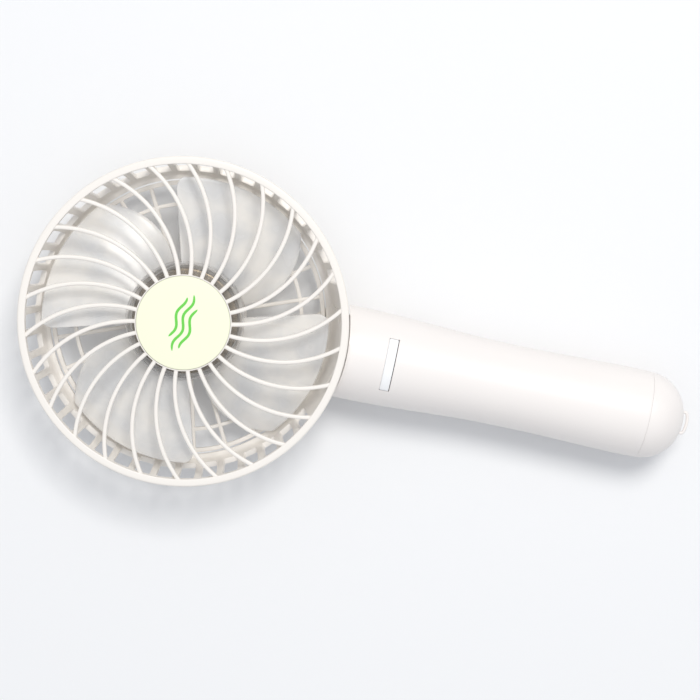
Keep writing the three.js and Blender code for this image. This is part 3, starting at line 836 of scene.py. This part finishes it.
def makeMotorCover():
    radius = coverHigh.y / mm
    cover = addMesh("motorCover", turnProfile(rounded([
        (0, 0, 0), (radius - 0.4, 0, 0.9), (radius, 1.6, 0.2), (9, 1.6, 0), (9, 2.7, 0.3), (7.8, 2.7, 0.3),
        (7.8, 1.6, 0), (0, 1.6, 0)], closed=False), discSteps), finish["shell"])
    tools = []
    for side in (-1, 1):
        for holeRadius, top in ((1.2, 4), (2.15, 0.95)):
            hole = turnProfile([(0, -1), (holeRadius, -1), (holeRadius, top), (0, top)], 40)
            bmesh.ops.translate(hole, vec=(0, side * 12 * mm, 0), verts=hole.verts)
            tools.append(addMesh("tool", hole, finish["shell"]))
    combine(cover, tools)
    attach(cover, "housing")
    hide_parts("motor_cover")


blade = {"count": 4, "phase": 15.0, "hubWidth": 80, "tipWidth": 56, "root": 18.2, "tip": 46.0,
         "corner": 4.0, "highEdge": 25.2, "drop": 9.6, "thickness": 1.1}


def bladePoint(across, outward):
    edge = min(1, across * 60 / blade["corner"])
    cornerDrop = blade["corner"] * (1 - math.sqrt(1 - (1 - edge) ** 2))
    radius = blade["root"] + outward * (blade["tip"] - 0.15 - cornerDrop - blade["root"])
    reach = (radius - blade["root"]) / (blade["tip"] - blade["root"])
    width = blade["hubWidth"] - (blade["hubWidth"] - blade["tipWidth"]) * reach * reach
    angle = -math.radians(across * width)
    camber = 0.5 * math.sin(math.pi * across)
    height = blade["highEdge"] - blade["drop"] * across + camber
    return Vector((radius * math.cos(angle), radius * math.sin(angle), height)) * mm


def makeImpeller():
    low, high = bladeLow.z / mm, bladeHigh.z / mm
    hub = addMesh("impeller", turnProfile(rounded([
        (0, high, 0), (19, high, 1.9), (19, low, 0.4), (17.5, low, 0.3), (17.5, 25.7, 0.6), (3.2, 25.7, 0),
        (3.2, 25.3, 0), (1.25, 25.3, 0), (1.25, 26.3, 0), (0, 26.3, 0),
    ], closed=False), discSteps), finish["milky"])
    builder = bmesh.new()
    columns, rows = 44, 22
    for number in range(blade["count"]):
        turn = Matrix.Rotation(math.radians(blade["phase"] + 360 * number / blade["count"]), 4, "Z")
        grid = [
            [builder.verts.new(turn @ bladePoint((c / columns) ** 1.5, r / rows)) for r in range(rows + 1)]
            for c in range(columns + 1)
        ]
        for c in range(columns):
            for r in range(rows):
                builder.faces.new((grid[c][r], grid[c + 1][r], grid[c + 1][r + 1], grid[c][r + 1]))
    bmesh.ops.recalc_face_normals(builder, faces=builder.faces)
    blades = addMesh("blades", builder, finish["milky"])
    thick = blades.modifiers.new("thick", "SOLIDIFY")
    thick.thickness = blade["thickness"] * mm
    thick.offset = 0
    bakeModifiers(blades)
    softenEdges(blades, 0.3, 2, 60)
    mergeInto(hub, [blades])
    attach(hub, "rotor")
    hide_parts("impeller")


def makeMotor():
    low, high = cupLow.z / mm, cupHigh.z / mm
    # the cup's near-black tone is painted shade
    cup = addMesh("rotorCup", turnProfile(rounded([
        (16.2, low, 0.15), (17.1, low, 0.2), (17.1, high, 0.9), (1.2, high, 0.1), (1.2, high - 0.9, 0.1),
        (16.2, high - 0.9, 0.4)]), discSteps), finish["rotorSteelPaintedShade"])
    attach(cup, "rotor")
    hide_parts("rotor_cup")
    coilInputs = [("Width", 3.8 * mm), ("Height", 6.4 * mm), ("Wire Radius", 0.2 * mm),
                  ("Pitch", 0.44 * mm), ("Inner", 0.0082), ("Level", 0.0185)]
    tree = buildRingTree("motorCoils", coilInputs, addCoil, finish["copper"])
    coils = runTree("motorCoils", tree, {
        "Count": 9, "Phase": 0.0, "Width": 3.8 * mm, "Height": 6.4 * mm, "Wire Radius": 0.2 * mm,
        "Pitch": 0.44 * mm, "Inner": 8.25 * mm, "Level": 18.5 * mm,
    }, finish["copper"])
    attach(coils, "housing")
    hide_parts("stator_winding")


handle = {"outline": [(50, 15.2), (58, 15.2), (66, 15.0), (75, 14.6), (84, 14.15), (92, 13.75),
                      (100, 13.55), (112, 13.55), (122, 13.7), (133, 14.0), (144, 14.25), (151.5, 14.15)],
          "slotNear": 1.54, "slotFar": 1.74, "slotLength": 16.96}


# smooth outline through the driving points
def smoothOutline(points, steps=5):
    curve = []
    for k in range(len(points) - 1):
        p0 = Vector(points[max(0, k - 1)])
        p1 = Vector(points[k])
        p2 = Vector(points[k + 1])
        p3 = Vector(points[min(len(points) - 1, k + 2)])
        for i in range(steps):
            t = i / steps
            bend = (p1 * 2 + (p2 - p0) * t + (p0 * 2 - p1 * 5 + p2 * 4 - p3) * t * t
                    + (p1 * 3 - p0 - p2 * 3 + p3) * t ** 3) / 2
            curve.append((bend.x, bend.y))
    curve.append(points[-1])
    return curve


def makeHandleShells():
    outline = [(min(r, handleRadius / mm), x) for x, r in smoothOutline(handle["outline"])]
    bore = [(11.85, 151.5), (11.85, 139), (11.2, 139), (11.2, 77), (12.4, 77), (12.4, 50)]
    sides = {"handleFrontShell": (1, "handle_front_shell"), "handleBackShell": (-1, "handle_back_shell")}
    axis = handleAxis / mm
    for name, (side, node) in sides.items():
        shell = addMesh(name, turnProfile(outline + bore, discSteps, alongHandle=True), finish["handle"])
        headSpace = turnProfile([(0, -5), (52.8, -5), (52.8, 40), (0, 40)], headSteps)
        seam = axis + side * 0.1
        low = (40, -20, -10) if side > 0 else (40, -20, seam)
        high = (170, 20, seam) if side > 0 else (170, 20, 40)
        tools = [addMesh("tool", cutter, finish["handle"]) for cutter in (headSpace, boxBuilder(low, high))]
        middle = (buttonLow.x + buttonHigh.x) / 2 / mm
        if side > 0:
            near, far = middle - handle["slotNear"], middle + handle["slotFar"]
            length = handle["slotLength"] / 2
            slot = boxBuilder((near, -length, axis + 5), (far, length, 40))
            tools.append(addMesh("tool", slot, finish["handle"]))
        else:
            tools.append(addMesh("tool", socketOpening(), finish["handle"]))
            tools.append(addMesh("tool", crossPin(1.2, -20, -8), finish["handle"]))
            for y in (-8.6, 8.6):
                hole = turnProfile([(0, -1), (2, -1), (2, 9.2), (0, 9.2)], 40)
                bmesh.ops.translate(hole, vec=(73 * mm, y * mm, 0), verts=hole.verts)
                tools.append(addMesh("tool", hole, finish["handle"]))
        combine(shell, tools)
        softenEdges(shell, 0.16, 2, 40)
        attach(shell, "housing")
        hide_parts(node)


def socketOpening():
    low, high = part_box("charge_socket")
    pad = 0.3 * mm
    builder = boxBuilder(
        ((low.x - pad) / mm, -20, (low.z - pad) / mm), ((high.x + pad) / mm, -8, (high.z + pad) / mm))
    upright = [e for e in builder.edges if abs(e.verts[0].co.y - e.verts[1].co.y) > 5 * mm]
    bmesh.ops.bevel(builder, geom=upright, offset=0.7 * mm, segments=4, profile=0.5, affect="EDGES")
    return builder


def crossPin(radius, start, end):
    low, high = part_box("indicator_lens")
    builder = turnProfile([(0, start), (radius, start), (radius, end), (0, end)], pinSteps)
    turn = Matrix.Rotation(-math.pi / 2, 4, "X")
    place = Matrix.Translation(((low.x + high.x) / 2, 0, (low.z + high.z) / 2))
    bmesh.ops.transform(builder, matrix=place @ turn, verts=builder.verts)
    return builder


def makePowerButton():
    middle = (buttonLow.x + buttonHigh.x) / 2
    halfX, halfY = 1.5 * mm, (buttonHigh.y - buttonLow.y) / 2 - 0.1 * mm
    outer, inner = buttonHigh.z - handleAxis, 12 * mm
    builder = bmesh.new()
    steps = 32
    stations = []
    for k in range(steps + 1):
        y = -halfY + 2 * halfY * k / steps
        top = handleAxis + math.sqrt(outer ** 2 - y ** 2)
        bottom = handleAxis + math.sqrt(inner ** 2 - y ** 2)
        stations.append([builder.verts.new((middle + x, y, z)) for x, z in (
            (-halfX, bottom), (halfX, bottom), (halfX, top), (-halfX, top))])
    for first, second in zip(stations, stations[1:]):
        for k in range(4):
            builder.faces.new((first[k], first[(k + 1) % 4], second[(k + 1) % 4], second[k]))
    builder.faces.new(stations[0])
    builder.faces.new(stations[-1])
    bmesh.ops.recalc_face_normals(builder, faces=builder.faces)
    button = addMesh("powerButton", builder, finish["button"])
    softenEdges(button, 0.4, 3, 50)
    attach(button, "button")
    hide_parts("power_button")


def makeIndicator():
    lens = addMesh("indicatorLens", crossPin(0.95, -14, -9.5), finish["button"])
    softenEdges(lens, 0.25, 3, 50)
    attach(lens, "housing")
    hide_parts("indicator_lens")


cap = {"start": 151.56, "length": 13.04, "radius": 14.1}


def makeEndCap():
    dome = []
    steps = 24
    for k in range(steps + 1):
        angle = k / steps * math.pi / 2
        radius = 0 if k == steps else cap["radius"] * math.cos(angle) ** 0.97
        dome.append((radius, cap["start"] + cap["length"] * math.sin(angle)))
    skirt = rounded([(0, 153.2, 0), (9.9, 153.2, 0.2), (9.9, 144.6, 0.2), (11.3, 144.6, 0.4),
                     (11.3, 146.9, 0),
                     (10.8, 146.9, 0.1), (10.8, 148.3, 0.1), (11.3, 148.3, 0), (11.3, cap["start"], 0.1),
                     (cap["radius"] - 0.12, cap["start"], 0)], closed=False)
    body = addMesh("endCap", turnProfile(skirt + dome, discSteps, alongHandle=True), finish["handle"])
    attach(body, "cap")
    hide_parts("end_cap")
    start, end, outer = gasketLow.x / mm, gasketHigh.x / mm, gasketHigh.y / mm
    inner = outer - 0.75
    ringProfile = rounded([(inner, start, 0.3), (outer, start, 0.3), (outer, end, 0.3), (inner, end, 0.3)])
    gasket = addMesh("capGasket", turnProfile(ringProfile, discSteps, alongHandle=True), finish["gasket"])
    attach(gasket, "cap")
    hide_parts("cap_gasket")


# round wire along a list of points, as a closed mesh
def makeWire(name, points, radius, material, sides=12):
    builder = bmesh.new()
    rings = []
    side = None
    for k, point in enumerate(points):
        ahead = points[min(k + 1, len(points) - 1)] - points[max(k - 1, 0)]
        ahead.normalize()
        if side is None:
            side = ahead.orthogonal().normalized()
        side = (side - ahead * side.dot(ahead)).normalized()
        other = ahead.cross(side)
        rings.append([
            builder.verts.new(point + (side * math.cos(a) + other * math.sin(a)) * radius)
            for a in (2 * math.pi * i / sides for i in range(sides))
        ])
    for first, second in zip(rings, rings[1:]):
        for k in range(sides):
            builder.faces.new((first[k], first[(k + 1) % sides], second[(k + 1) % sides], second[k]))
    builder.faces.new(rings[0])
    builder.faces.new(rings[-1])
    bmesh.ops.recalc_face_normals(builder, faces=builder.faces)
    return addMesh(name, builder, material)


def makeLoop():
    half = (loopHigh.y - loopLow.y) / 2 - 0.5 * mm
    bend = 165 * mm
    reach = loopHigh.x - 0.5 * mm - bend
    points = [Vector((loopLow.x + (bend - loopLow.x) * k / 6, -half, handleAxis)) for k in range(6)]
    steps = 24
    for k in range(steps + 1):
        angle = math.pi * k / steps - math.pi / 2
        bulge = abs(math.cos(angle)) ** 0.8
        points.append(Vector((bend + reach * bulge, half * math.sin(angle), handleAxis)))
    points += [Vector((p.x, half, p.z)) for p in reversed(points[:6])]
    loop = makeWire("lanyardLoop", points, 0.5 * mm, finish["handle"])
    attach(loop, "cap")
    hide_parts("lanyard_loop")


def makeCell():
    low, high = cellLow.x / mm, cellHigh.x / mm
    start = low + 1.3
    sleeve = addMesh("batteryCell", turnProfile(rounded([
        (0, start + 0.3, 0), (6.2, start + 0.3, 0), (6.2, start, 0.1), (9.1, start, 0.7),
        (9.1, start + 2.2, 0.4), (8.75, start + 2.9, 0.4), (9.1, start + 3.6, 0.4), (9.1, high, 0.7),
        (7.4, high, 0.1), (7.4, high - 0.2, 0), (0, high - 0.2, 0),
    ], closed=False), tubeSteps, alongHandle=True), finish["sleeve"])
    ring = addMesh("cellRing", turnProfile(rounded([
        (3.2, start - 0.15, 0.05), (6.8, start - 0.15, 0.1), (6.8, start + 0.4, 0), (3.2, start + 0.4, 0),
    ]), tubeSteps, alongHandle=True), finish["cellRing"])
    tip = addMesh("cellTip", turnProfile(rounded([
        (0, low, 0), (2.8, low, 0.4), (2.9, start + 0.35, 0), (0, start + 0.35, 0),
    ], closed=False), smallSteps, alongHandle=True), finish["steel"])
    base = addMesh("cellBase", turnProfile(rounded([
        (0, high - 0.5, 0), (7.3, high - 0.5, 0), (7.3, high - 0.05, 0.2), (0, high - 0.05, 0),
    ], closed=False), smallSteps, alongHandle=True), finish["steel"])
    for piece in (sleeve, ring, tip, base):
        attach(piece, "cell")
    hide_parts("battery_cell")


def makeTailSpring():
    turns, steps = 4.5, 150
    start, end = springLow.x + 0.45 * mm, springHigh.x - 0.45 * mm
    small = 3.2 * mm
    large = springHigh.y - 0.45 * mm
    points = []
    for k in range(steps + 1):
        t = k / steps
        angle = 2 * math.pi * turns * t
        radius = small + (large - small) * t
        rise = min(1, max(0, (t - 0.08) / 0.84))
        x = start + (end - start) * rise
        points.append(Vector((x, radius * math.cos(angle), handleAxis + radius * math.sin(angle))))
    spring = makeWire("tailSpring", points, 0.38 * mm, finish["steel"], 10)
    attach(spring, "cap")
    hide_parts("tail_spring")


# CAD nodes that keep their own shape get their finish here
carried = {
    "steel": ["cover_screw_1", "cover_screw_2", "motor_shaft", "front_bearing", "rear_bearing",
              "motor_screw_1", "motor_screw_2", "motor_screw_3", "handle_screw_1", "handle_screw_2",
              "charge_socket"],
    "core": ["stator_core"],
    "magnet": ["magnet_ring"],
    "brass": ["bearing_tube", "front_contact", "tail_contact"],
    "dark": ["driver_chip", "button_switch", "charge_chip", "contact_carrier", "battery_tube"],
    "board": ["driver_board", "control_board"],
}


def paintCarried():
    for name, nodes in carried.items():
        for node in nodes:
            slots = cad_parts[node].material_slots
            for place in slots:
                place.material = finish[name]


makeFrontGrille()
makeBadge()
print("front grille and badge ready")
makeHeadRing()
makeRearGrille()
makeMotorHousing()
makeMotorCover()
print("head ready")
makeImpeller()
makeMotor()
print("impeller and motor ready")
makeHandleShells()
makePowerButton()
makeIndicator()
print("handle ready")
makeEndCap()
makeLoop()
makeCell()
makeTailSpring()
print("cap, loop and cell ready")
paintCarried()
